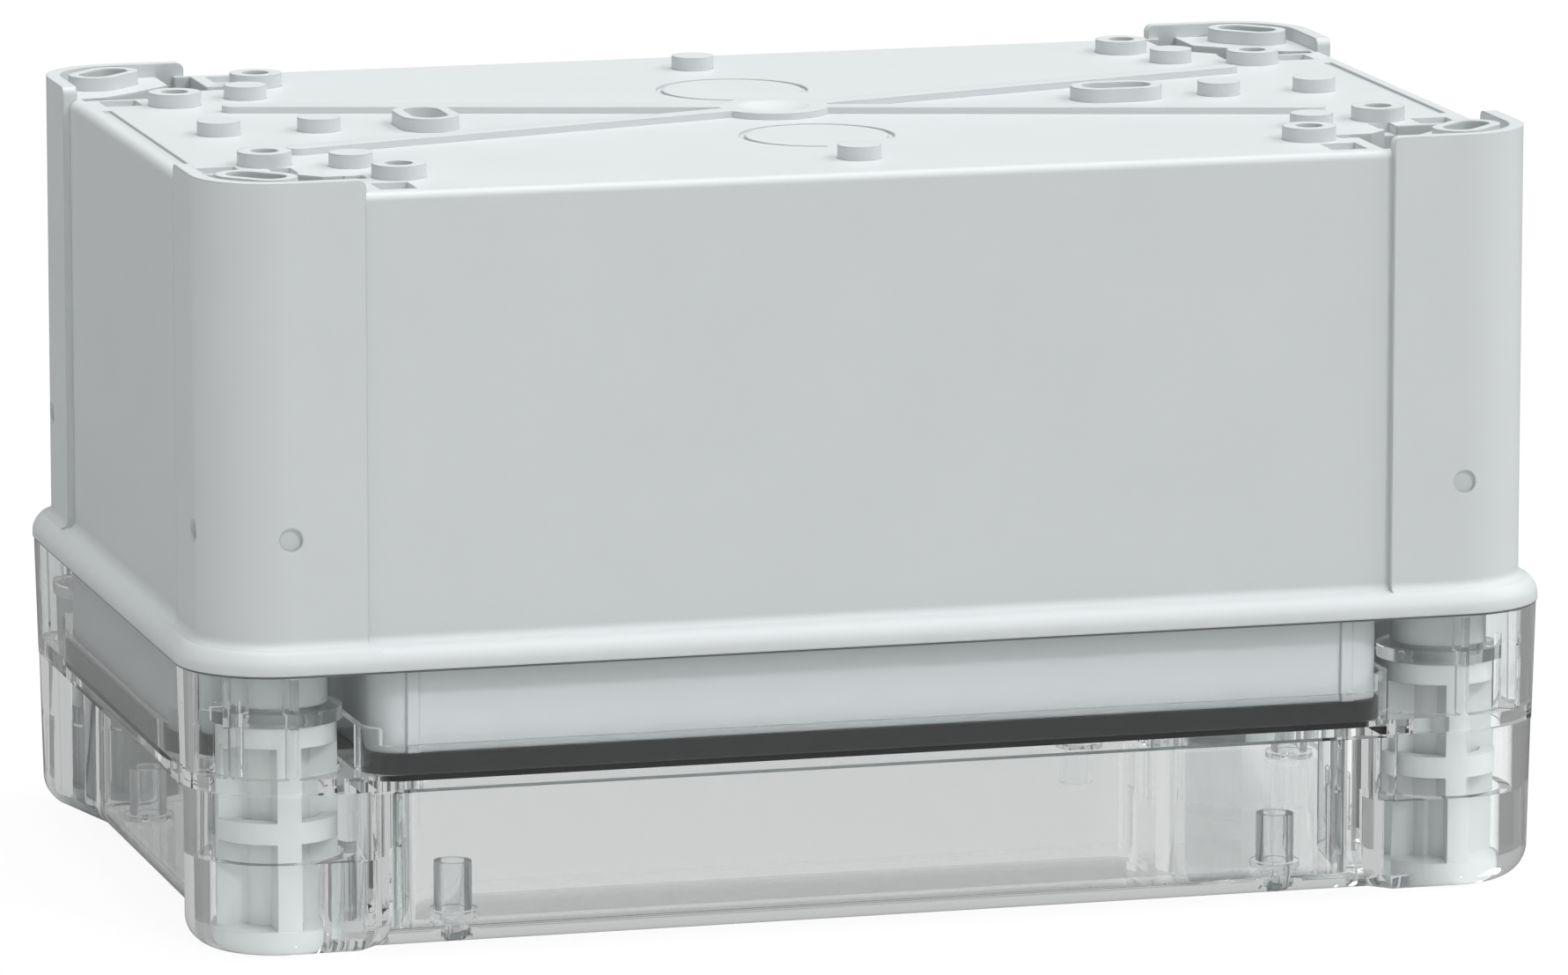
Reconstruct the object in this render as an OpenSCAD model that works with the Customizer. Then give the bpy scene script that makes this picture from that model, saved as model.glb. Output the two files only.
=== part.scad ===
// Hinged polycarbonate enclosure, cover face down.
// Origin: centre of the outline on the plane of the cover face. +X runs along the long side,
// +Y towards the hinge side, +Z from the cover face to the mounting back.

/* [Overall] */
// Length of the outline
case_l = 192; // [184:1:230]
// Width of the outline
case_w = 121; // [114:1:160]
// Height from the cover face to the tops of the rear bosses
case_h = 105; // [90:1:150]
// Height of the joint between cover and base
joint_z = 39; // [38:0.5:44]
// Corner radius of the outline
corner_r = 13.5; // [12.5:0.5:14.5]
// Distance from the outline to the closure axes
closure_inset = 13.7; // [13.4:0.1:14.4]

/* [Base] */
// Inset of the corner shells from the outline
shell_inset = 2.7; // [2.5:0.1:3]
// Wall of the corner shells
shell_t = 2; // [1.6:0.1:2.4]
// Step from the corner shells in to the tub walls
tub_step = 1; // [0.5:0.1:1.5]
// Thickness of the mounting back
back_t = 2.5; // [2.2:0.1:3.5]
// Distance from a closure axis to the corner recess of the tub
recess_half = 11.3; // [11:0.1:11.8]
// Gap between the tub and the ends of the corner shells
slit_w = 0.8; // [0.5:0.1:1.2]
// Inset of the neck from the outline
neck_inset = 4.5; // [4.3:0.1:5]
// Wall of the neck
neck_t = 2.2; // [1.8:0.1:2.4]
// Depth of the neck below the joint
neck_drop = 11.8; // [11:0.1:12.4]
// Height of the flange
flange_h = 3.2; // [3.2:0.1:4]
// Thickness of the plate inside the flange
flange_t = 2.9; // [2.8:0.1:3.2]

/* [Mounting back] */
// Height of the rear bosses
boss_h = 1.9; // [1.2:0.1:3]
// Outer diameter of the screw bosses
boss_d = 7.4; // [6.4:0.2:8]
// Diameter of the screw holes in the bosses
boss_hole_d = 3.7; // [2.5:0.1:4]
// Depth of the screw holes in the bosses
boss_hole_depth = 7.5; // [5:0.5:9]
// Diameter of the solid support pads
pad_d = 6; // [5:0.5:7]
// Width of the slots in the corner bosses
corner_slot_w = 4.4; // [4:0.1:5]
// Width of the slots in the two middle bosses
middle_slot_w = 5; // [4:0.1:5.6]
// Distance of the middle bosses from the centre
middle_slot_x = 49.8; // [40:0.2:54]
// Height of the cross ribs
rib_h = 0.9; // [0.5:0.1:1.5]
// Width of the cross ribs
rib_w = 3.4; // [2:0.1:5]

/* [Cover] */
// Height of the step between the skirt and the corner towers
step_z = 22.3; // [20:0.1:23]
// Thickness of the ledge under the gasket
ledge_t = 2.2; // [1.8:0.1:2.4]
// Thickness of the cover face
face_t = 2.8; // [2.2:0.1:3.4]
// Depth of the recess in the long sides
recess_long = 4.3; // [3.5:0.1:4.6]
// Depth of the recess in the short sides
recess_short = 5.2; // [4.5:0.1:5.4]
// Radius along the edge of the cover face
edge_r = 4.6; // [3:0.2:5]
// Height of the cups round the closures
cup_h = 12.9; // [8:0.1:14]
// Outer diameter of the cover posts
post_d = 5.2; // [4.4:0.1:6]
// Bore of the cover posts
post_bore_d = 3.2; // [2.5:0.1:3.8]
// Height of the top of the cover posts
post_top_z = 10.2; // [8:0.1:14]

/* [Closures] */
// Outer diameter of the closure cage
cage_d = 16.2; // [15:0.1:16.4]
// Diameter of the core inside the cage
core_d = 8.8; // [8:0.1:9.6]
// Diameter of the closure head
head_d = 17; // [16.6:0.1:17.2]
// Thickness of the closure head
head_t = 3.2; // [2.6:0.1:3.6]
// Diameter of the locking shank
shank_d = 7; // [6:0.1:7.2]
// Reach of the locking lugs from the axis
lug_reach = 5.5; // [5.2:0.1:5.6]
// Width of the locking lugs
lug_w = 2.2; // [1.8:0.1:2.3]

/* [Hinge] */
// Distance of each hinge from the middle
hinge_x = 45; // [30:1:54]
// Length of a base knuckle
knuckle_l = 10; // [8:0.5:14]
// Length of a cover knuckle
cover_knuckle_l = 5; // [4:0.5:7]
// Outer diameter of the knuckles
knuckle_d = 4.8; // [4.4:0.1:4.9]
// Diameter of the hinge pins
pin_d = 2.5; // [2:0.1:2.6]

/* [Hidden] */
$fn = 64;
eps = 0.01;
part_gap = 0.1;        // between skirt and flange when shut
run_gap = 0.3;         // round everything that turns
half_l = case_l / 2;
half_w = case_w / 2;
closure_x = half_l - closure_inset;
closure_y = half_w - closure_inset;
back_z = case_h - boss_h;
flange_z = joint_z + part_gap / 2;
flange_top = joint_z + flange_h;
notch_x = closure_x - recess_half;
notch_y = closure_y - recess_half;
tub_inset = shell_inset + tub_step;
neck_tip_z = joint_z - neck_drop;
neck_r = 4.5;
notch_fillet = 2.5;

ledge_z = step_z + ledge_t;
skirt_top = joint_z - part_gap / 2;
skirt_in = 2.7;        // inset of the inner face of the skirt
skirt_draft = [0.2, 0.65];
tower_draft = [0.75, 1.15];
cavity_gap = 1;        // from the inner face of the neck to the cover cavity
gasket_side = 0.7;     // gasket beyond the outer face of the neck
gasket_in = 0.3;       // gasket beyond the inner face of the neck
gasket_z = ledge_z - 1;
seat_play = 0.05;      // round the gasket in its groove
cavity_r = 5;
fence_t = 1;
fence_z = 28.4;
fence_corner_z = 30.7;
fin_t = 1.2;
fin_top = skirt_top - 0.65;
web_r = 8.8;

head_z = 0.4;
cage_z = head_z + head_t;
cage_r = cage_d / 2;
collar_top = 31.1;
collar_z = 28.3;
band_low_z = 15.2;
band_high_z = 18.2;
web_z = 31.3;
web_t = 1.8;
ring_z = web_z + web_t + 0.25;
ring_t = 0.7;
tube_end_z = web_z + web_t + 0.5;
shank_top = joint_z + 4.7;
lug_t = 1.5;
ring_play = 0.05;
ring_groove_r = shank_d / 2 - 0.6;
driver_l = 12;         // screwdriver slot in the head
driver_w = 1.8;
driver_deep = 1.8;
lug_plate_top = joint_z + flange_t;
tube_r = 6.9;
tube_bore_r = lug_reach + run_gap;
head_hole_r = head_d / 2 + 0.4;

hinge_y = half_w - 2.6;
knuckle_r = knuckle_d / 2;
pocket_r = knuckle_r + run_gap;

// Rear screw bosses and pads, as distances in from the ends and from the sides.
end_boss_x = 17;
end_boss_y = 32;
side_boss_x = 32;
side_boss_y = 16.7;
corner_pad_x = 28;
corner_pad_y = 27.9;
outer_pad_x = 17;
inner_pad_x = 31.1;
side_pad_in = 16.5;
screw_bosses = [[half_l - end_boss_x, half_w - end_boss_y],
    [half_l - side_boss_x, half_w - side_boss_y]];
corner_pad = [half_l - corner_pad_x, half_w - corner_pad_y];
end_pads_x = [half_l - outer_pad_x, half_l - inner_pad_x];
side_pad_y = half_w - side_pad_in;
pillar_h = 10;
corner_slot_offset = 2.5;
corner_slot_run = 2.2;
corner_slot_rim = 1.5;
middle_slot_run = 2.45;
middle_slot_rim = 1.6;
middle_slot_depth = 3.5;
// Cover posts, as distances in from the ends and from the sides.
side_post_x = 37.7;
side_post_y = 13.2;
end_post_x = 13;
end_post_y = 38;
cover_post_places = [[half_l - side_post_x, half_w - side_post_y],
    [half_l - end_post_x, half_w - end_post_y]];
pin_play = 0.05;
knuckle_floor = 3;     // below the hinge axis, cut for a base knuckle
relief_w = 5;          // strip cleared beside the hinge axis

// ---- shared outlines and sweeps ----

module quadrants() {
    for (mx = [0, 1]) for (my = [0, 1])
        mirror([mx, 0, 0]) mirror([0, my, 0]) children();
}

module rounded(hx, hy, r) {
    square([2 * (hx - r), 2 * hy], center = true);
    square([2 * hx, 2 * (hy - r)], center = true);
    for (x = [-1, 1]) for (y = [-1, 1])
        translate([x * (hx - r), y * (hy - r)]) circle(r);
}

// Rectangle with a square recess at each corner; nx and ny are where the recesses start.
module notched(hx, hy, nx, ny, r, fillet) {
    rounded(hx, ny, r);
    rounded(nx, hy, r);
    quadrants() translate([nx - eps, ny - eps]) difference() {
        square(fillet + eps);
        translate([fillet + eps, fillet + eps]) circle(fillet);
    }
}

// The neck outline, moved inwards by d.
module neck_outline(d) {
    notched(half_l - neck_inset - d, half_w - neck_inset - d, notch_x - d, notch_y - d,
        neck_r - d, notch_fillet + d);
}

module slot_shape(run, r) {
    square([2 * run, 2 * r], center = true);
    for (s = [-1, 1]) translate([s * run, 0]) circle(r);
}

// Sweeps a profile (x outwards from the corner centres, y up) round the outline.
module round_outline() {
    hx = half_l - corner_r;
    hy = half_w - corner_r;
    for (turn = [0, 180]) rotate([0, 0, turn]) {
        translate([-hx, hy, 0]) rotate([90, 0, 90]) linear_extrude(2 * hx) children();
        translate([hx, hy, 0]) rotate([90, 0, 0]) linear_extrude(2 * hy) children();
    }
    quadrants() translate([hx, hy, 0]) rotate_extrude(angle = 90) children();
}

module core_block(z0, z1) {
    translate([corner_r - half_l, corner_r - half_w, z0])
        cube([case_l - 2 * corner_r, case_w - 2 * corner_r, z1 - z0]);
}

module at_closure(front, left) {
    translate([left ? -closure_x : closure_x, front ? -closure_y : closure_y, 0]) children();
}

module along_x(x0, x1, y, z, r) {
    translate([x0, y, z]) rotate([0, 90, 0]) cylinder(r = r, h = x1 - x0);
}

// Bores for both pins, drilled just past the cover knuckles.
module pin_bores() {
    reach = knuckle_l / 2 + run_gap + cover_knuckle_l;
    for (s = [-1, 1])
        along_x(s * hinge_x - reach - 1, s * hinge_x + reach + 1, hinge_y, joint_z,
            pin_d / 2 + pin_play);
}

// ---- base ----

module flange_profile() {
    nose_r = 2.4;
    nose_x = corner_r - nose_r;
    nose_z = flange_top - nose_r;
    inner = corner_r - shell_inset - shell_t - tub_step;
    translate([0, flange_z]) square([nose_x, flange_t - part_gap / 2]);
    translate([inner, flange_z]) square([nose_x - inner, flange_top - flange_z]);
    translate([inner, flange_z]) square([corner_r - inner, nose_z - flange_z]);
    intersection() {
        translate([nose_x, nose_z]) circle(nose_r);
        translate([nose_x - eps, nose_z - eps]) square(nose_r + 1);
    }
}

// Fillet on the flange at the foot of a wall whose face is at x.
module root_fillet(x) {
    root_r = 1.2;
    difference() {
        translate([x - eps, flange_top - eps]) square(root_r + eps);
        translate([x + root_r, flange_top + root_r]) circle(root_r);
    }
}

module shell_profile() {
    translate([corner_r - shell_inset - shell_t, flange_z + 1])
        square([shell_t, case_h - flange_z - 1]);
    root_fillet(corner_r - shell_inset);
}

module corner_zone(x0, y0) {
    quadrants() translate([x0, y0, joint_z - 1]) cube([half_l, half_w, case_h]);
}

module corner_shells() {
    end_r = 1;
    difference() {
        intersection() {
            round_outline() shell_profile();
            corner_zone(notch_x + slit_w, notch_y + slit_w);
        }
        quadrants() {
            translate([notch_x + slit_w + end_r, half_w, case_h - end_r]) rotate([90, 0, 0])
                linear_extrude(corner_r) mirror([1, 0]) edge_cut(end_r);
            translate([half_l - corner_r, notch_y + slit_w + end_r, case_h - end_r])
                rotate([90, 0, 90]) linear_extrude(corner_r) mirror([1, 0]) edge_cut(end_r);
        }
    }
}

module tub_block() {
    x = half_l - tub_inset;
    y = half_w - tub_inset;
    edge = 1.1;
    difference() {
        translate([0, 0, flange_z + 1]) linear_extrude(back_z - flange_z - 1) {
            notched(x, y, notch_x, notch_y, 1.2, notch_fillet);
            quadrants() {
                translate([closure_x, closure_y]) lobe_shape(0);
                joint_strips(x, y);
            }
        }
        for (s = [0, 180]) rotate([0, 0, s]) {
            translate([-half_l, y - edge, back_z - edge]) rotate([90, 0, 90])
                linear_extrude(case_l) edge_cut(edge);
            translate([x - edge, half_w, back_z - edge]) rotate([90, 0, 0])
                linear_extrude(case_w) edge_cut(edge);
        }
    }
    long_run = notch_x + slit_w + eps;
    short_run = notch_y + slit_w + eps;
    for (s = [0, 180]) rotate([0, 0, s]) {
        translate([-long_run, 0, 0]) rotate([90, 0, 90]) linear_extrude(2 * long_run) root_fillet(y);
        translate([0, short_run, 0]) rotate([90, 0, 0]) linear_extrude(2 * short_run) root_fillet(x);
    }
}

module edge_cut(r) {
    difference() {
        square(r + 1);
        circle(r);
    }
}

// Chamfered lobe of the tub in a corner recess, moved inwards by d; drawn about the closure
// axis, +x and +y outwards.
module lobe_shape(d) {
    root = -recess_half - 0.7 - d;
    near = -5.6 - d;
    chamfer = -8.4 - 0.414 * d;
    polygon([[root, root], [root, near], [chamfer, near], [near, chamfer], [near, root]]);
}

// Strips that close the slits between the tub walls and the corner shells.
module joint_strips(x, y) {
    lap = 1.5;
    thick = tub_step + 0.9;
    translate([notch_x - lap, y - thick]) square([slit_w + 2 * lap, thick]);
    translate([x - thick, notch_y - lap]) square([thick, slit_w + 2 * lap]);
}

// Well that carries a corner slot; drawn about the closure axis, +x and +y outwards.
module well_shape() {
    reach = closure_inset - shell_inset - shell_t / 2;
    polygon([[-6.4, reach], [-6.4, 0.6], [0.6, -5.8], [4.5, -8.6], [reach, -9.4], [reach, 0],
        [0, reach]]);
    intersection() {
        square(reach);
        translate([closure_inset - corner_r, closure_inset - corner_r])
            circle(corner_r - shell_inset - shell_t / 2);
    }
}

module corner_wells() {
    wall = 1.6;
    quadrants() translate([closure_x, closure_y, 0]) {
        translate([0, 0, back_z - wall]) linear_extrude(wall) well_shape();
        translate([0, 0, flange_z + 1]) linear_extrude(back_z - flange_z - 1) difference() {
            well_shape();
            translate([wall, wall]) well_shape();
        }
    }
}

module corner_slot(r) {
    translate([corner_slot_offset, corner_slot_offset]) rotate(-45) slot_shape(corner_slot_run, r);
}

module closure_tubes() {
    quadrants() translate([closure_x, closure_y, flange_z]) cylinder(r = tube_bore_r + 1.6, h = 8);
    for (left = [true, false])
        at_closure(true, left) translate([0, 0, tube_end_z])
            cylinder(r = tube_r, h = flange_z - tube_end_z + 1);
}

module closure_bores() {
    quadrants() translate([closure_x, closure_y, 0]) {
        cylinder(r = shank_d / 2 + 1, h = back_z - 5);
        translate([-tube_bore_r, -lug_w / 2 - 1.2, 0])
            cube([2 * tube_bore_r, lug_w + 2.4, lug_plate_top + 1]);
        translate([0, 0, lug_plate_top]) cylinder(r = tube_bore_r + 0.2, h = 9);
    }
    for (left = [true, false])
        at_closure(true, left) translate([0, 0, tube_end_z - 1])
            cylinder(r = tube_bore_r, h = flange_z - tube_end_z + 1);
}

module pad(place) {
    translate([place[0], place[1], back_z - eps]) cylinder(d = pad_d, h = boss_h + eps);
}

// The left middle slot runs across the back and the right one along it.
module at_middle_slot(s) {
    translate([s * middle_slot_x, 0, 0]) rotate([0, 0, s < 0 ? 90 : 0]) children();
}

module back_bosses() {
    quadrants() {
        for (p = screw_bosses) translate([p[0], p[1], back_z - eps])
            cylinder(d = boss_d, h = boss_h + eps);
        pad(corner_pad);
        translate([closure_x, closure_y, back_z - eps]) linear_extrude(boss_h + eps)
            corner_slot(corner_slot_w / 2 + corner_slot_rim);
    }
    for (s = [-1, 1]) {
        for (x = end_pads_x) pad([s * x, 0]);
        pad([0, s * side_pad_y]);
        at_middle_slot(s) translate([0, 0, back_z - eps]) linear_extrude(boss_h + eps)
            slot_shape(middle_slot_run, middle_slot_w / 2 + middle_slot_rim);
    }
}

module cross_ribs() {
    hub_r = 7.8;
    rib_end = 74;
    rib_angle = 15.6;
    difference() {
        union() {
            translate([0, 0, back_z - eps]) cylinder(r = hub_r, h = rib_h + eps);
            for (a = [rib_angle, -rib_angle]) rotate([0, 0, a])
                translate([0, 0, back_z - eps]) linear_extrude(rib_h + eps)
                    slot_shape(rib_end / cos(rib_angle) - rib_w / 2, rib_w / 2);
        }
        translate([0, 0, back_z + 14]) sphere(r = 14);
    }
}

module back_recesses() {
    pocket_deep = 1.3;
    groove_deep = 0.35;
    groove_w = 1.2;
    groove_run = 2 * notch_y - 20;
    quadrants() translate([0, 0, back_z - pocket_deep]) {
        translate([half_l - 12.6, notch_y - 6.1, 0]) cube([5.2, 5, pocket_deep + 1]);
        translate([notch_x - 7, half_w - 11.9, 0]) cube([5, 5.5, pocket_deep + 1]);
        translate([notch_x - 2.6, closure_y - 5.4, 0]) cube([4, 2.7, pocket_deep + 1]);
        translate([closure_x - 6, notch_y - 3.3, 0]) cube([3.1, 5, pocket_deep + 1]);
    }
    for (s = [-1, 1])
        translate([s * (half_l - 6.65) - groove_w / 2, -groove_run / 2, back_z - groove_deep])
            cube([groove_w, groove_run, groove_deep + 1]);
    for (s = [-1, 1]) translate([0, s * 22.4, back_z - 0.35]) arc_groove(10.3, 0.8);
}

// Ring open between 262 and 330 degrees.
module arc_groove(r, w) {
    rotate([0, 0, -30]) rotate_extrude(angle = 292) translate([r - w / 2, 0]) square([w, 1]);
}

module screw_holes() {
    quadrants() for (p = screw_bosses) {
        translate([p[0], p[1], case_h - boss_hole_depth])
            cylinder(d = boss_hole_d, h = boss_hole_depth + 1);
        translate([p[0], p[1], back_z - back_t - pillar_h - 1])
            cylinder(d = boss_hole_d, h = pillar_h - 3);
    }
    quadrants() translate([closure_x, closure_y, back_z - 4]) linear_extrude(boss_h + 5)
        corner_slot(corner_slot_w / 2);
    for (s = [-1, 1]) at_middle_slot(s) translate([0, 0, case_h - middle_slot_depth])
        linear_extrude(middle_slot_depth + 1) slot_shape(middle_slot_run, middle_slot_w / 2);
}

module pillars() {
    quadrants() for (p = screw_bosses)
        translate([p[0], p[1], back_z - back_t - pillar_h]) cylinder(d = boss_d, h = pillar_h + 1);
}

module side_dimples() {
    dimple_z = 57;
    dimple_r = 1.55;
    deep = 0.6;
    quadrants() {
        translate([closure_x, half_w - shell_inset + 1, dimple_z]) rotate([90, 0, 0])
            cylinder(r = dimple_r, h = deep + 1);
        translate([half_l - shell_inset - deep, closure_y, dimple_z]) rotate([0, 90, 0])
            cylinder(r = dimple_r, h = deep + 1);
    }
}

module neck_ribs() {
    for (x = [-1, 1]) for (y = [-1, 1])
        translate([x * (notch_x - 5.3) - 0.85, y * (half_w - neck_inset) - 0.4, neck_tip_z])
            cube([1.7, 0.8, neck_drop]);
}

// Clears the cover skirt and the cover knuckles as the base swings up.
module hinge_relief() {
    difference() {
        translate([-half_l, hinge_y - 0.5, joint_z - 1]) cube([case_l, relief_w, flange_h + 1]);
        for (s = [-1, 1]) translate([s * hinge_x - knuckle_l / 2, hinge_y - 2, joint_z - 2])
            cube([knuckle_l, relief_w + 1, flange_h + 3]);
    }
    for (s = [-1, 1]) for (side = [-1, 1]) {
        x0 = s * hinge_x + side * (knuckle_l + cover_knuckle_l) / 2 + side * run_gap / 2;
        along_x(x0 - cover_knuckle_l / 2 - run_gap, x0 + cover_knuckle_l / 2 + run_gap,
            hinge_y, joint_z, pocket_r);
    }
}

module base_knuckles() {
    for (s = [-1, 1]) {
        x0 = s * hinge_x - knuckle_l / 2;
        along_x(x0, x0 + knuckle_l, hinge_y, joint_z, knuckle_r);
        translate([x0, hinge_y - knuckle_r, joint_z]) cube([knuckle_l, 2 * knuckle_r - 0.1, flange_t]);
    }
}

module base() color([0.77, 0.78, 0.785]) difference() {
    union() {
        difference() {
            union() {
                round_outline() flange_profile();
                core_block(flange_z, joint_z + flange_t);
                corner_shells();
                tub_block();
                translate([0, 0, neck_tip_z]) linear_extrude(flange_z - neck_tip_z + 1)
                    neck_outline(0);
                neck_ribs();
            }
            translate([0, 0, neck_tip_z - 1])
                linear_extrude(back_z - back_t - neck_tip_z + 1) neck_outline(neck_t);
            translate([0, 0, joint_z + flange_t])
                linear_extrude(back_z - back_t - joint_z - flange_t)
                quadrants() translate([closure_x, closure_y]) lobe_shape(neck_t);
            hinge_relief();
        }
        corner_wells();
        closure_tubes();
        pillars();
        back_bosses();
        cross_ribs();
        base_knuckles();
    }
    closure_bores();
    screw_holes();
    back_recesses();
    side_dimples();
    pin_bores();
}

// ---- cover ----

module skirt_profile() {
    top = corner_r - skirt_draft[0];
    low = corner_r - skirt_draft[1];
    polygon([[0, step_z], [low, step_z], [top, skirt_top], [0, skirt_top]]);
}

module tower_profile() {
    top = corner_r - tower_draft[0];
    low = corner_r - tower_draft[1];
    polygon([[0, edge_r], [low, edge_r], [top, step_z + eps], [0, step_z + eps]]);
    square([low - edge_r, edge_r + eps]);
    intersection() {
        translate([low - edge_r, edge_r]) circle(edge_r);
        square([corner_r, edge_r + 1]);
    }
}

// Slab with a rounded lower edge, ending at x = 0 and running along y.
module rounded_slab(r) {
    reach = case_l;
    translate([0, reach, 0]) rotate([90, 0, 0]) linear_extrude(2 * reach) {
        translate([-reach, r]) square([reach, step_z - r]);
        translate([-reach, 0]) square([reach - r, r + eps]);
        translate([-r, r]) circle(r);
    }
}

// One quarter of the swept outline, filled to its middle.
module outline_quarter() {
    hx = half_l - corner_r;
    hy = half_w - corner_r;
    translate([0, hy, 0]) rotate([90, 0, 90]) linear_extrude(hx) children();
    translate([hx, hy, 0]) rotate([90, 0, 0]) linear_extrude(hy) children();
    translate([hx, hy, 0]) rotate_extrude(angle = 90) children();
    cube([hx, hy, step_z]);
}

// Corner towers: their ends slant back to the recessed walls, steeply along the long sides
// and gently along the short ones.
module towers() {
    end_x = notch_x + 0.6;
    slant = atan2(recess_short, closure_y - 24);
    quadrants() intersection() {
        outline_quarter() tower_profile();
        translate([end_x, half_w - tower_draft[1], 0]) rotate([0, 0, 135]) rounded_slab(edge_r);
        translate([half_l - tower_draft[1], closure_y - 0.5, 0]) rotate([0, 0, -slant])
            rounded_slab(edge_r);
    }
}

module recessed_walls() {
    x = half_l - recess_short;
    y = half_w - recess_long;
    r = edge_r - 0.6;
    intersection() {
        translate([0, y, 0]) rotate([0, 0, 90]) rounded_slab(r);
        translate([0, -y, 0]) rotate([0, 0, -90]) rounded_slab(r);
        translate([-notch_x - 8, -half_w, 0]) cube([2 * notch_x + 16, case_w, step_z]);
    }
    intersection() {
        translate([x, 0, 0]) rounded_slab(r);
        translate([-x, 0, 0]) rotate([0, 0, 180]) rounded_slab(r);
        translate([-half_l, -notch_y - 5, 0]) cube([case_l, 2 * notch_y + 10, step_z]);
    }
}

// Well round a closure; drawn about its axis, +x and +y outwards.
module cover_well_shape() {
    inner = recess_half + 0.4;
    outer = closure_inset - tower_draft[1] - 2;
    intersection() {
        translate([(outer - inner) / 2, (outer - inner) / 2])
            rounded((outer + inner) / 2, (outer + inner) / 2, 3);
        union() {
            circle(outer);
            translate([-inner, -inner]) square([inner, inner + outer]);
            translate([-inner, -inner]) square([inner + outer, inner]);
        }
    }
}

module cavity_outline() {
    d = neck_t + cavity_gap;
    notched(half_l - neck_inset - d, half_w - neck_inset - d, notch_x - d, notch_y - d,
        cavity_r, notch_fillet + d);
}

module cover_voids() {
    translate([0, 0, ledge_z]) linear_extrude(joint_z - ledge_z + 1)
        rounded(half_l - skirt_in, half_w - skirt_in, corner_r - skirt_in);
    translate([0, 0, face_t]) linear_extrude(ledge_z - face_t + 1) cavity_outline();
    translate([0, 0, gasket_z]) linear_extrude(ledge_z - gasket_z + 1) gasket_shape(seat_play);
    quadrants() translate([closure_x, closure_y, 0]) {
        translate([0, 0, face_t]) linear_extrude(step_z - face_t) cover_well_shape();
        translate([0, 0, step_z - 1]) cylinder(r = head_hole_r, h = ledge_t + 2);
    }
}

// Cups round the closures, with a liner on the wall towards the end of the tower.
module closure_cups() {
    inner = recess_half + 0.5;
    outer = closure_inset - tower_draft[1] - 1.5;
    back = 3.2;
    liner_t = 1.7;
    quadrants() translate([closure_x, closure_y, face_t - 1]) linear_extrude(cup_h - face_t + 1) {
        circle(head_hole_r + 1.8);
        difference() {
            translate([-inner, -back]) square([inner, outer + back]);
            translate([liner_t - inner, liner_t - back]) square([inner, outer + back - 2 * liner_t]);
        }
    }
}

// Disc that holds each closure, carried by fins on the walls round it.
module closure_webs() {
    fin_r = cage_r + run_gap;
    wall_r = closure_inset - skirt_in + 0.3;
    rod_r = 0.6;
    quadrants() translate([closure_x, closure_y, 0]) {
        translate([0, 0, web_z]) cylinder(r = web_r, h = web_t);
        for (turn = [0, 45, 90]) rotate([0, 0, turn]) {
            translate([fin_r, -fin_t / 2, ledge_z - eps])
                cube([wall_r - fin_r, fin_t, fin_top - ledge_z]);
            translate([tube_r + run_gap, -fin_t / 2, web_z + web_t - eps])
                cube([wall_r - tube_r - run_gap, fin_t, fin_top - web_z - web_t]);
        }
        rotate([0, 0, 45]) translate([fin_r + rod_r, 0, ledge_z - eps])
            cylinder(r = rod_r + 0.1, h = joint_z - 4 - ledge_z);
    }
}

// Thin wall on the ledge round the outside of the gasket, taller at the closures.
module fence() {
    translate([0, 0, ledge_z - eps]) {
        linear_extrude(fence_z - ledge_z) fence_outline();
        linear_extrude(fence_corner_z - ledge_z) intersection() {
            fence_outline();
            quadrants() translate([notch_x - 1, notch_y - 1]) square(2 * closure_inset);
        }
    }
}

module fence_outline() {
    difference() {
        neck_outline(-gasket_side - seat_play - fence_t);
        neck_outline(-gasket_side - seat_play);
    }
}

module cover_posts() {
    foot_h = 0.8;
    quadrants() for (p = cover_post_places) translate([p[0], p[1], face_t - 1]) {
        cylinder(d = post_d, h = post_top_z - face_t + 1);
        cylinder(d = post_d + 1.6, h = foot_h + 1);
    }
}

module cover_knuckles() {
    for (s = [-1, 1]) for (side = [-1, 1]) {
        x0 = s * hinge_x + side * ((knuckle_l + cover_knuckle_l) / 2 + run_gap);
        along_x(x0 - cover_knuckle_l / 2, x0 + cover_knuckle_l / 2, hinge_y, joint_z, knuckle_r);
    }
}

module base_knuckle_pockets() {
    for (s = [-1, 1]) {
        x0 = s * hinge_x - knuckle_l / 2 - run_gap;
        along_x(x0, x0 + knuckle_l + 2 * run_gap, hinge_y, joint_z, pocket_r);
        translate([x0, hinge_y, joint_z - knuckle_floor])
            cube([knuckle_l + 2 * run_gap, 6, 2 * knuckle_floor]);
    }
}

module cover() color([0.86, 0.89, 0.9, 0.4]) difference() {
    union() {
        difference() {
            union() {
                round_outline() skirt_profile();
                core_block(step_z, skirt_top);
                recessed_walls();
                towers();
            }
            cover_voids();
            base_knuckle_pockets();
        }
        closure_cups();
        closure_webs();
        fence();
        cover_posts();
        cover_knuckles();
    }
    quadrants() translate([closure_x, closure_y, -1]) {
        cylinder(r = head_hole_r, h = cup_h + 2);
        cylinder(r = shank_d / 2 + 0.4, h = joint_z);
    }
    quadrants() for (p = cover_post_places)
        translate([p[0], p[1], face_t - 0.6]) cylinder(d = post_bore_d, h = post_top_z);
    pin_bores();
}

module gasket_shape(play) {
    difference() {
        neck_outline(-gasket_side - play);
        neck_outline(neck_t + gasket_in + play);
    }
}

module gasket() color([0.1, 0.1, 0.1]) {
    translate([0, 0, gasket_z + eps])
        linear_extrude(neck_tip_z - seat_play - gasket_z) gasket_shape(0);
}

// ---- closures ----

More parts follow.
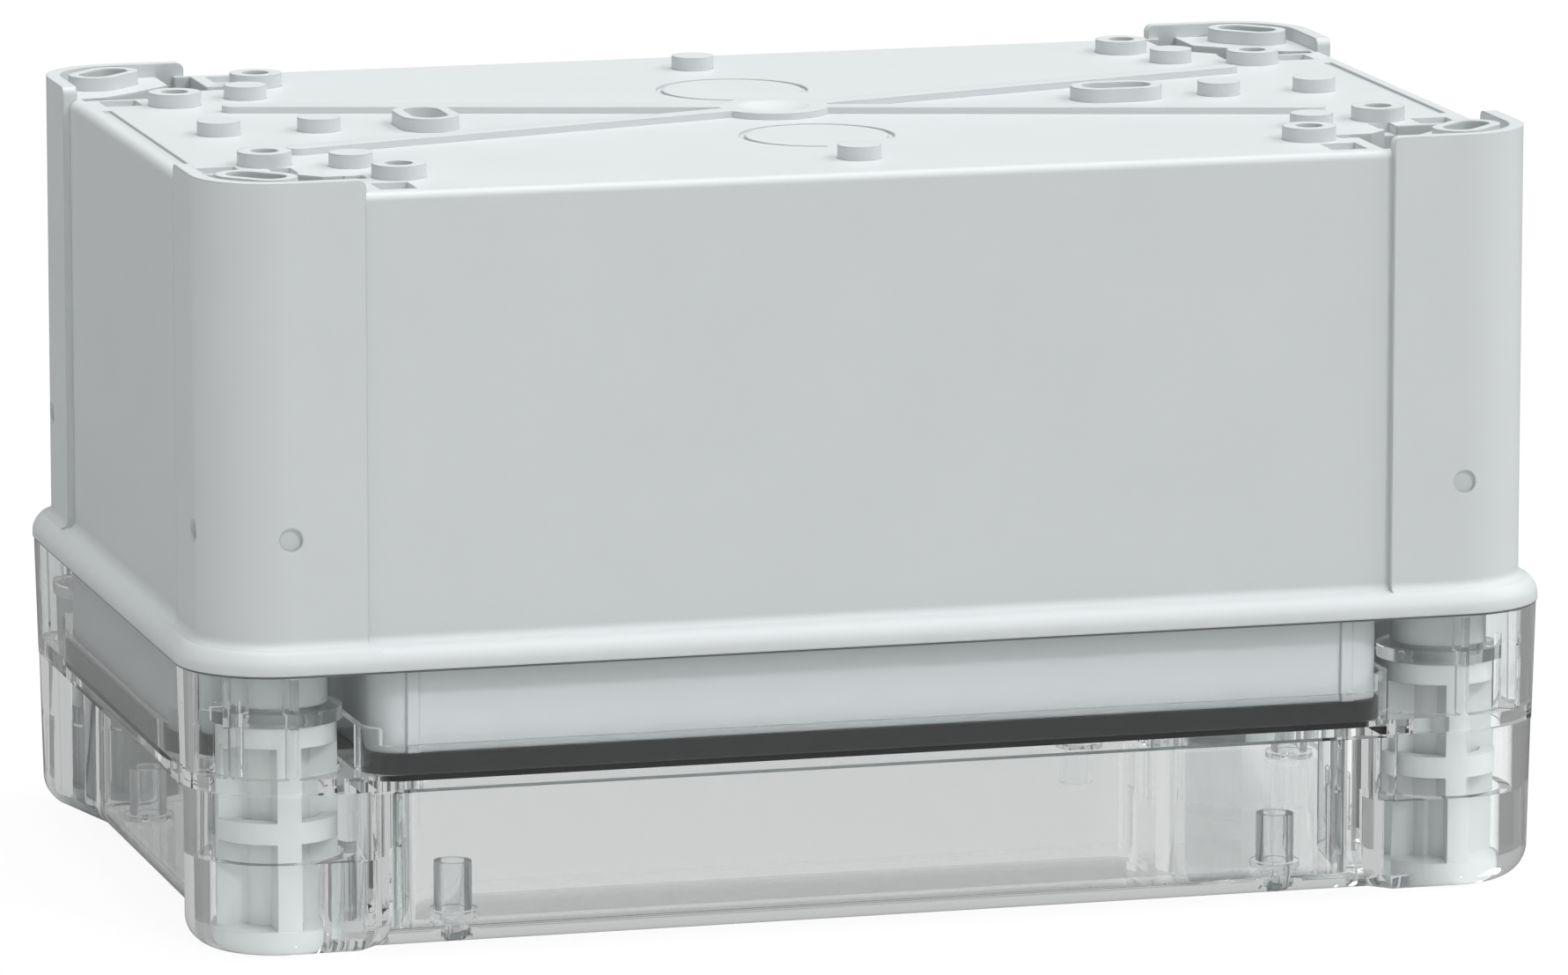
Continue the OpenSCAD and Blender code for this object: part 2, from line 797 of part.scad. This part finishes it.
// Head, core with a windowed cage of four ribs, shank and two lugs.
module closure() color([0.8, 0.81, 0.81]) difference() {
    cage_wall = 2;
    rib_t = 3.2;
    union() {
        round_between(head_d / 2, head_z, cage_z);
        round_between(core_d / 2, cage_z - eps, collar_top);
        round_between(cage_r, collar_z, collar_top);
        difference() {
            round_between(cage_r, band_low_z, band_high_z);
            round_between(cage_r - cage_wall, band_low_z - 1, band_high_z + 1);
        }
        intersection() {
            round_between(cage_r, cage_z - eps, collar_top);
            for (turn = [0, 90]) rotate([0, 0, turn])
                translate([-cage_r, -rib_t / 2, cage_z - 1]) cube([2 * cage_r, rib_t, collar_top]);
        }
        round_between(shank_d / 2, collar_top - eps, shank_top);
        intersection() {
            round_between(lug_reach, shank_top - lug_t, shank_top);
            translate([-lug_reach, -lug_w / 2, shank_top - lug_t]) cube([2 * lug_reach, lug_w, lug_t]);
        }
    }
    difference() {
        round_between(shank_d / 2 + 1, ring_z - ring_play, ring_z + ring_t + ring_play);
        round_between(ring_groove_r, ring_z - 1, ring_z + ring_t + 1);
    }
    translate([-driver_l / 2, -driver_w / 2, head_z - 1]) cube([driver_l, driver_w, driver_deep + 1]);
}

module round_between(r, z0, z1) {
    translate([0, 0, z0]) cylinder(r = r, h = z1 - z0);
}

// Open clip that holds a closure under its web.
module retaining_ring() color([0.8, 0.81, 0.81]) difference() {
    outer_r = shank_d / 2 + 1.7;
    mouth = 4;
    round_between(outer_r, ring_z, ring_z + ring_t);
    round_between(ring_groove_r + ring_play, ring_z - 1, ring_z + ring_t + 1);
    translate([-mouth / 2, -outer_r - 1, ring_z - 1]) cube([mouth, outer_r + 1, ring_t + 2]);
}

module hinge_pin(s) color([0.7, 0.7, 0.72]) {
    reach = knuckle_l / 2 + run_gap + cover_knuckle_l - 0.3;
    along_x(s * hinge_x - reach, s * hinge_x + reach, hinge_y, joint_z, pin_d / 2);
}

base();
cover();
gasket();
at_closure(true, true) closure();  // closure_front_left
at_closure(true, false) closure();  // closure_front_right
at_closure(false, true) closure();  // closure_back_left
at_closure(false, false) closure();  // closure_back_right
at_closure(true, true) retaining_ring();  // ring_front_left
at_closure(true, false) retaining_ring();  // ring_front_right
at_closure(false, true) retaining_ring();  // ring_back_left
at_closure(false, false) retaining_ring();  // ring_back_right
hinge_pin(-1);  // hinge_pin_left
hinge_pin(1);  // hinge_pin_right
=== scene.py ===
import math

import bmesh
import bpy
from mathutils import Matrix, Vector


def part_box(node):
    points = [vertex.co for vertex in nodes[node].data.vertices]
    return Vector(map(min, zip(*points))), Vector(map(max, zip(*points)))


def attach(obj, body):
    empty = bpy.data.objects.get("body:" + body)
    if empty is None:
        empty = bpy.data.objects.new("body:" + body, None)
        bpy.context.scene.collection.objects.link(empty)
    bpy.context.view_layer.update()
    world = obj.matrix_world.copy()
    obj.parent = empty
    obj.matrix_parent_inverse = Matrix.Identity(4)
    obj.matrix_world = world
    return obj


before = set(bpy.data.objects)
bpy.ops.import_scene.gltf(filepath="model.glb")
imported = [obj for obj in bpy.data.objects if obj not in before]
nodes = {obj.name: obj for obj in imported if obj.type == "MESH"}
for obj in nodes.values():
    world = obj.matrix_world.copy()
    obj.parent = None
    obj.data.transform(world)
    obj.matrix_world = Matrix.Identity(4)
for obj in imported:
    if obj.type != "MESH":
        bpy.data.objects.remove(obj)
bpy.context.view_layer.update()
print("frame loaded:", len(nodes), "nodes")


class Link:
    # one output socket; arithmetic on it adds Math nodes
    def __init__(self, maker, socket):
        self.maker = maker
        self.socket = socket

    def math(self, operation, *values, clamp=False):
        settings = {"operation": operation, "use_clamp": clamp}
        return self.maker.node("ShaderNodeMath", settings, dict(enumerate(values)))

    def __add__(self, other):
        return self.math("ADD", self, other)

    def __radd__(self, other):
        return self.math("ADD", other, self)

    def __rsub__(self, other):
        return self.math("SUBTRACT", other, self)

    def __mul__(self, other):
        return self.math("MULTIPLY", self, other)

    def __rmul__(self, other):
        return self.math("MULTIPLY", other, self)

    def __rpow__(self, other):
        return self.math("POWER", other, self)

    def __gt__(self, other):
        return self.math("GREATER_THAN", self, other)

    def clamped(self):
        return self.math("ADD", self, 0.0, clamp=True)


class Maker:
    # builds the tree of one material or of the world
    def __init__(self, tree):
        self.tree = tree
        tree.nodes.clear()

    def node(self, kind, settings=None, sockets=None, out=0):
        made = self.tree.nodes.new(kind)
        for key, value in (settings or {}).items():
            if key == "stops":
                ramp = made.color_ramp
                for place, (spot, colour) in enumerate(value):
                    stop = ramp.elements[place] if place < 2 else ramp.elements.new(spot)
                    stop.position = spot
                    stop.color = colour
            else:
                setattr(made, key, value)
        for key, value in (sockets or {}).items():
            if isinstance(value, Link):
                self.tree.links.new(value.socket, made.inputs[key])
            else:
                made.inputs[key].default_value = value
        if made.outputs:
            return Link(self, made.outputs[out])

    def mixColour(self, factor, first, second):
        return self.node("ShaderNodeMix", {"data_type": "RGBA"}, {0: factor, 6: first, 7: second}, out=2)

    def mixShader(self, factor, first, second):
        return self.node("ShaderNodeMixShader", None, {0: factor, 1: first, 2: second})

    def objectPlace(self):
        return self.node("ShaderNodeTexCoord", out="Object")

    def axis(self, vector, letter):
        return self.node("ShaderNodeSeparateXYZ", None, {0: vector}, out=letter)

    def noise(self, look, place=None):
        # look: scale, detail and roughness of the pattern
        scale, detail, rough = look
        return self.node("ShaderNodeTexNoise", None, {
            "Vector": place or self.objectPlace(), "Scale": scale, "Detail": detail, "Roughness": rough})

    def bump(self, look, height, normal=None):
        # look: strength, and how far the pattern stands out
        strength, distance = look
        sockets = {"Strength": strength, "Distance": distance, "Height": height}
        if normal:
            sockets["Normal"] = normal
        return self.node("ShaderNodeBump", None, sockets)

    def rayPath(self, what):
        return self.node("ShaderNodeLightPath", out=what)

    def surface(self, shader):
        self.node("ShaderNodeOutputMaterial", None, {"Surface": shader})


def newMaterial(name):
    material = bpy.data.materials.new(name)
    material.use_nodes = True
    return material, Maker(material.node_tree)


def rgba(colour, level=1.0):
    return (colour[0] * level, colour[1] * level, colour[2] * level, 1.0)


def between(limits, share):
    low, high = limits
    return low + (high - low) * share


basePlastic = {
    "name": "baseGreyPlastic",
    "colour": (0.632, 0.662, 0.670),
    "clouding": 0.018,      # share by which the colour drifts over a wall
    "roughness": (0.42, 0.52),
    "swirl": (55.0, 3.0, 0.55),
    "swirlShare": 0.7,      # of the change in roughness; the grain makes the rest
    "grain": (2600.0, 2.0, 0.6),
    "grainBump": (0.35, 0.00001),
    "edgeRound": 0.00045,
    "edgeSamples": 4,
    "specular": 0.42,
}

closurePlastic = {
    "name": "closureGreyPlastic",
    "colour": (0.640, 0.664, 0.662),
    "clouding": 0.012,
    "roughness": (0.36, 0.46),
    "swirl": (120.0, 3.0, 0.55),
    "swirlShare": 0.7,
    "grain": (3400.0, 2.0, 0.6),
    "grainBump": (0.35, 0.000006),
    "edgeRound": 0.0002,
    "edgeSamples": 4,
    "specular": 0.45,
}


def mouldedPlastic(look):
    material, make = newMaterial(look["name"])
    swirl = make.noise(look["swirl"])
    grain = make.noise(look["grain"])
    light = rgba(look["colour"], 1.0 + look["clouding"])
    dark = rgba(look["colour"], 1.0 - look["clouding"])
    share = look["swirlShare"]
    rounded = make.node(
        "ShaderNodeBevel", {"samples": look["edgeSamples"]}, {"Radius": look["edgeRound"]})
    make.surface(make.node("ShaderNodeBsdfPrincipled", None, {
        "Base Color": make.mixColour(swirl, dark, light),
        "Roughness": between(look["roughness"], share * swirl + (1.0 - share) * grain),
        "Specular IOR Level": look["specular"],
        "Normal": make.bump(look["grainBump"], grain, rounded)}))
    return material


clearPlastic = {
    "name": "clearPolycarbonate",
    "colour": (0.965, 0.975, 0.975),
    "paintedEdgeShade": (0.30, 0.31, 0.31),  # painted shade: where a surface turns away, the glass colour darkens into dark edge lines
    "edgeFrom": 0.88,                 # how far it has turned away where the painted edge shade begins, of 1
    "ior": 1.585,
    "roughness": (0.0, 0.02),
    "flow": (30.0, 1.5, 0.4),
    "flowBump": (0.1, 0.00002),
    "shade": (0.97, 0.98, 0.98),      # light that passes straight through to what is inside
    "mirrorTurns": 3.5,               # a ray that turns more often inside the walls gets a painted pale glow from the cover itself instead of going dark
    "allTurns": 10.5,                 # is lost in them and ends in the pale room
    "paintedGlowLevel": 0.60,
    "rim": (0.03875, 0.03900),        # heights between which a painted shadow line lies on the skirt's rim
    # painted shade: the grey of that shadow line
    "rimShadeColour": (0.17, 0.18, 0.18),
    "rimEnd": 0.055,                  # it stops short of the hinge
}


def coverPlastic(look):
    material, make = newMaterial(look["name"])
    flow = make.noise(look["flow"])
    # painted shade: the colour darkens towards edges that turn away, drawing dark outlines
    stops = ((look["edgeFrom"], rgba(look["colour"])), (1.0, rgba(look["paintedEdgeShade"])))
    facing = make.node("ShaderNodeLayerWeight", out="Facing")
    shader = make.node("ShaderNodeBsdfPrincipled", None, {
        "Base Color": make.node("ShaderNodeValToRGB", {"stops": stops}, {"Fac": facing}),
        "Roughness": between(look["roughness"], flow),
        "IOR": look["ior"],
        "Transmission Weight": 1.0,
        "Normal": make.bump(look["flowBump"], flow)})
    # painted light: the cover glows pale grey where a ray has turned too often in its walls
    paintedGlowShader = make.node("ShaderNodeEmission", None, {
        "Color": rgba(look["colour"]), "Strength": look["paintedGlowLevel"]})
    mirrored = make.rayPath("Glossy Depth") > look["mirrorTurns"]
    turned = make.rayPath("Ray Depth") > look["allTurns"]
    lost = make.mixShader((mirrored + turned).clamped(), shader, paintedGlowShader)
    # painted shadow: a matt grey band on the skirt's top edge stands in for the shadow gap there
    height = make.axis(make.objectPlace(), "Z")
    depth = make.axis(make.objectPlace(), "Y")
    low, high = look["rim"]
    onRim = (height > low) * (1.0 - (height > high)) * (1.0 - (depth > look["rimEnd"]))
    line = make.node("ShaderNodeBsdfDiffuse", None, {"Color": rgba(look["rimShadeColour"])})
    rimmed = make.mixShader(onRim, lost, line)
    passing = make.node("ShaderNodeBsdfTransparent", None, {"Color": rgba(look["shade"])})
    make.surface(make.mixShader(make.rayPath("Is Shadow Ray"), rimmed, passing))
    return material


sealRubber = {
    "name": "sealRubber",
    "colour": (0.004, 0.004, 0.0045),
    "dust": (0.008, 0.009, 0.010),
    "roughness": (0.4, 0.58),
    "specular": 0.18,
    "bloom": (90.0, 3.0, 0.5),      # where dust lies
    "pores": (1500.0, 4.0, 0.6),
    "poreBump": (0.4, 0.00003),
}


def rubber(look):
    material, make = newMaterial(look["name"])
    pores = make.noise(look["pores"])
    bloom = make.noise(look["bloom"])
    make.surface(make.node("ShaderNodeBsdfPrincipled", None, {
        "Base Color": make.mixColour(bloom, rgba(look["colour"]), rgba(look["dust"])),
        "Roughness": between(look["roughness"], bloom),
        "Specular IOR Level": look["specular"],
        "Normal": make.bump(look["poreBump"], pores)}))
    return material


pinSteel = {
    "name": "pinSteel",
    "colour": (0.56, 0.56, 0.57),
    "roughness": (0.22, 0.4),
    "darkest": 0.86,        # share of the colour left in a scratch
    "draw": (1.0, 3.0, 0.6),
    "drawScale": (30.0, 4200.0, 4200.0),    # scratches run along the pin
    "drawBump": (0.3, 0.000008),
}


def drawnSteel(look):
    material, make = newMaterial(look["name"])
    place = make.node("ShaderNodeMapping", None, {
        "Vector": make.objectPlace(), "Scale": look["drawScale"]})
    draw = make.noise(look["draw"], place)
    make.surface(make.node("ShaderNodeBsdfPrincipled", None, {
        "Base Color": make.mixColour(draw, rgba(look["colour"], look["darkest"]), rgba(look["colour"])),
        "Metallic": 1.0,
        "Roughness": between(look["roughness"], draw),
        "Normal": make.bump(look["drawBump"], draw)}))
    return material


finishes = {
    "base": mouldedPlastic(basePlastic),
    "cover": coverPlastic(clearPlastic),
    "gasket": rubber(sealRubber),
    "closure": mouldedPlastic(closurePlastic),
    "ring": mouldedPlastic({**closurePlastic, "name": "ringGreyPlastic", "edgeRound": 0.0001}),
    "hinge": drawnSteel(pinSteel),
}
for name, piece in nodes.items():
    piece.data.materials.clear()
    piece.data.materials.append(finishes[name.split("_")[0]])
print("finishes set on", len(nodes), "nodes")


cornerBlend = {
    "corners": {                    # which side of the middle each lies on, along x and y
        "front_left": (-1, -1), "front_right": (1, -1), "back_left": (-1, 1), "back_right": (1, 1)},
    "outlineRadius": 0.0135,
    "flangeTop": 0.0422,
    "noseRadius": 0.0024,
    "inset": (0.0015, 0.00035),     # from the foot of the corner wall's fillet out to the nose
    "overlap": 0.0001,
    "lift": 0.00001,                # of its inner edge over the flange's top
    "sunk": 0.0008,                 # how deep its hidden side lies in the flange
    "wallEnds": (0.0242, 0.0250),   # of the corner wall, from the outline's corner, along x and y
    "fade": 0.0015,                 # length in which it dies out beyond them
    "flangeEnd": 0.0574,            # the flange stops here on the hinge side
    "curveSteps": 8,
    "turnSteps": 20,
    "sharpAngle": 0.6,              # edges that turn more than this stay sharp
}


def noseHeight(look, inset):
    radius = look["noseRadius"]
    return look["flangeTop"] - radius + math.sqrt(radius ** 2 - (radius - inset) ** 2)


def blendSection(look, share):
    # from the fillet's foot a level start curves down and meets the nose along its own slope
    foot, end = look["inset"]
    run = foot - end
    drop = look["flangeTop"] - noseHeight(look, end)
    slope = (look["noseRadius"] - end) / (noseHeight(look, end) - look["flangeTop"] + look["noseRadius"])
    section = [(foot + look["overlap"], look["flangeTop"] - look["sunk"]),
               (foot + look["overlap"], look["flangeTop"] + share * look["lift"])]
    for step in range(look["curveSteps"] + 1):
        t = step / look["curveSteps"]
        full = look["flangeTop"] - drop * t * t * (3 - 2 * t) + slope * run * t * t * (1 - t)
        nose = noseHeight(look, foot - run * t)
        section.append((foot - run * t, nose + share * (full - nose)))
    section.append((end + look["sunk"], section[-1][1] - look["sunk"]))
    return section


def cornerPath(look, halfLength, halfWidth, back):
    # stops along the outline round one corner: place, direction outwards, share of the full blend
    radius = look["outlineRadius"]
    centre = Vector((halfLength - radius, halfWidth - radius))
    alongX, alongY = look["wallEnds"]
    path = [(Vector((halfLength - alongX - look["fade"], halfWidth)), Vector((0, 1)), 0.0),
            (Vector((halfLength - alongX, halfWidth)), Vector((0, 1)), 1.0)]
    for step in range(look["turnSteps"] + 1):
        angle = math.pi / 2 * (1 - step / look["turnSteps"])
        outwards = Vector((math.cos(angle), math.sin(angle)))
        path.append((centre + outwards * radius, outwards, 1.0))
    path.append((Vector((halfLength, halfWidth - alongY)), Vector((1, 0)), 1.0))
    path.append((Vector((halfLength, halfWidth - alongY - look["fade"])), Vector((1, 0)), 0.0))
    if back:
        path = [stop for stop in path if (stop[0] - stop[1] * look["inset"][1]).y < look["flangeEnd"]]
    return path


def makeCornerBlend(look, name, sideX, sideY, finish):
    low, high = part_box("base")
    mesh = bmesh.new()
    rings = []
    for place, outwards, share in cornerPath(look, high[0], -low[1], sideY > 0):
        ring = []
        for inset, height in blendSection(look, share):
            spot = place - outwards * inset
            ring.append(mesh.verts.new((spot.x * sideX, spot.y * sideY, height)))
        rings.append(ring)
    for first, second in zip(rings, rings[1:]):
        for k in range(len(first)):
            after = (k + 1) % len(first)
            mesh.faces.new((first[k], first[after], second[after], second[k]))
    mesh.faces.new(rings[0])
    mesh.faces.new(rings[-1])
    bmesh.ops.recalc_face_normals(mesh, faces=mesh.faces)
    for edge in mesh.edges:
        edge.smooth = edge.calc_face_angle() < look["sharpAngle"]
    data = bpy.data.meshes.new(name)
    mesh.to_mesh(data)
    mesh.free()
    data.shade_smooth()
    data.materials.append(finish)
    piece = bpy.data.objects.new(name, data)
    bpy.context.scene.collection.objects.link(piece)
    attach(piece, "base")


blendFinish = mouldedPlastic({**basePlastic, "name": "blendGreyPlastic", "edgeRound": 0.0})
for corner, (sideX, sideY) in cornerBlend["corners"].items():
    makeCornerBlend(cornerBlend, "corner_blend_" + corner, sideX, sideY, blendFinish)
print("corner blends laid on the flange")


studio = {
    "white": (1.0, 1.0, 1.0),
    "floorDrop": 0.0004,
    "floorSize": 8.0,
    "floorGrey": 0.62,      # what the floor throws back on the object
    "floorShare": 0.88,     # share of the floor that shows plain white
    "underReach": 0.003,    # what stands this close over the floor is lit by it
    "underGlow": 0.55,
    "ambient": 0.46,        # the room's light on matt surfaces
    "sideDrift": 0.12,      # the room is lighter to the right than to the left
    "bounced": 0.5,         # depth past which a ray has left a matt surface at least once
    "floorWhite": {
        "shown": 1.04,      # to the camera
        "mirrored": 0.10,   # in glossy surfaces
        "through": 1.18,    # through the clear cover
        "turned": 0.22,     # share of that left after each mirroring inside the cover
        "inside": 1.5,      # as light on what the cover holds
    },
    "roomWhite": {"shown": 1.0, "mirrored": 0.12, "through": 0.48, "turned": 0.95, "inside": 1.5},
    "lamps": {
        "frontLight": {"power": 0.67, "spread": 5.0, "from": (0.38, -0.71, 0.59)},
        "sideLight": {"power": 1.02, "spread": 40.0, "from": (0.76, 0.0, 0.65)},
        "topLight": {"power": 2.05, "spread": 25.0, "from": (0.0, -0.05, 1.0)},
    },
}


def whiteLevel(make, white, bounced):
    # rays that pass the cover count as glossy too, so they are taken first
    passed = make.rayPath("Is Transmission Ray")
    glossy = make.rayPath("Is Glossy Ray") * (1.0 - passed)
    lighting = make.rayPath("Diffuse Depth") > bounced
    through = white["through"] * white["turned"] ** make.rayPath("Glossy Depth")
    inside = (1.0 - lighting) * through + lighting * white["inside"]
    shown = make.rayPath("Is Camera Ray") * white["shown"]
    return shown + glossy * white["mirrored"] + passed * inside


def seenRay(make):
    # straight to the camera, through the cover, or by way of a gloss
    bent = make.rayPath("Is Transmission Ray") + make.rayPath("Is Glossy Ray")
    return (make.rayPath("Is Camera Ray") + bent).clamped()


def makeFloor(look):
    half = look["floorSize"] / 2
    mesh = bpy.data.meshes.new("floor")
    corners = [(x * half, y * half, -look["floorDrop"]) for x, y in ((-1, -1), (1, -1), (1, 1), (-1, 1))]
    mesh.from_pydata(corners, [], [(0, 1, 2, 3)])
    floor = bpy.data.objects.new("floor", mesh)
    bpy.context.scene.collection.objects.link(floor)
    material, make = newMaterial("paleFloor")
    matt = make.node("ShaderNodeBsdfDiffuse", None, {"Color": rgba(look["white"], look["floorGrey"])})
    under = make.rayPath("Is Diffuse Ray") * (1.0 - (make.rayPath("Ray Length") > look["underReach"]))
    level = whiteLevel(make, look["floorWhite"], look["bounced"]) + under * look["underGlow"]
    glow = make.node("ShaderNodeEmission", None, {"Color": rgba(look["white"]), "Strength": level})
    above = make.mixShader((seenRay(make) * look["floorShare"] + under).clamped(), matt, glow)
    # from below the floor is clear, so that the cover's face can be looked at
    fromBelow = make.node("ShaderNodeNewGeometry", out="Backfacing")
    clear = make.node("ShaderNodeBsdfTransparent", None, {"Color": rgba(look["white"])})
    make.surface(make.mixShader(fromBelow, above, clear))
    mesh.materials.append(material)


def makeWorld(look):
    world = bpy.data.worlds.new("studioWorld")
    world.use_nodes = True
    bpy.context.scene.world = world
    make = Maker(world.node_tree)
    direction = make.axis(make.node("ShaderNodeTexCoord", out="Generated"), "X")
    drift = 1.0 + direction * look["sideDrift"]
    white = whiteLevel(make, look["roomWhite"], look["bounced"])
    level = white * drift + (1.0 - seenRay(make)) * look["ambient"]
    sky = make.node("ShaderNodeBackground", None, {"Color": rgba(look["white"]), "Strength": level})
    make.node("ShaderNodeOutputWorld", None, {"Surface": sky})


def makeLamp(name, look):
    lamp = bpy.data.lights.new(name, "SUN")
    lamp.energy = look["power"]
    lamp.angle = math.radians(look["spread"])
    sun = bpy.data.objects.new(name, lamp)
    sun.rotation_mode = "QUATERNION"
    sun.rotation_quaternion = Vector(look["from"]).to_track_quat("Z", "Y")
    bpy.context.scene.collection.objects.link(sun)


view = {
    "place": (-0.400018, -1.462283, 0.327573),
    "towards": (0.26045, 0.94854, -0.18011),
    "lens": 252.66,
    "sensor": 36.0,
    "reach": 100.0,
}


def makeCamera(look):
    data = bpy.data.cameras.new("camera")
    data.lens = look["lens"]
    data.sensor_width = look["sensor"]
    data.clip_end = look["reach"]
    camera = bpy.data.objects.new("camera", data)
    camera.location = look["place"]
    camera.rotation_mode = "QUATERNION"
    camera.rotation_quaternion = Vector(look["towards"]).to_track_quat("-Z", "Y")
    bpy.context.scene.collection.objects.link(camera)
    bpy.context.scene.camera = camera


makeFloor(studio)
makeWorld(studio)
for name, lamp in studio["lamps"].items():
    makeLamp(name, lamp)
makeCamera(view)
bpy.context.scene.view_settings.view_transform = "Standard"
print("studio ready")
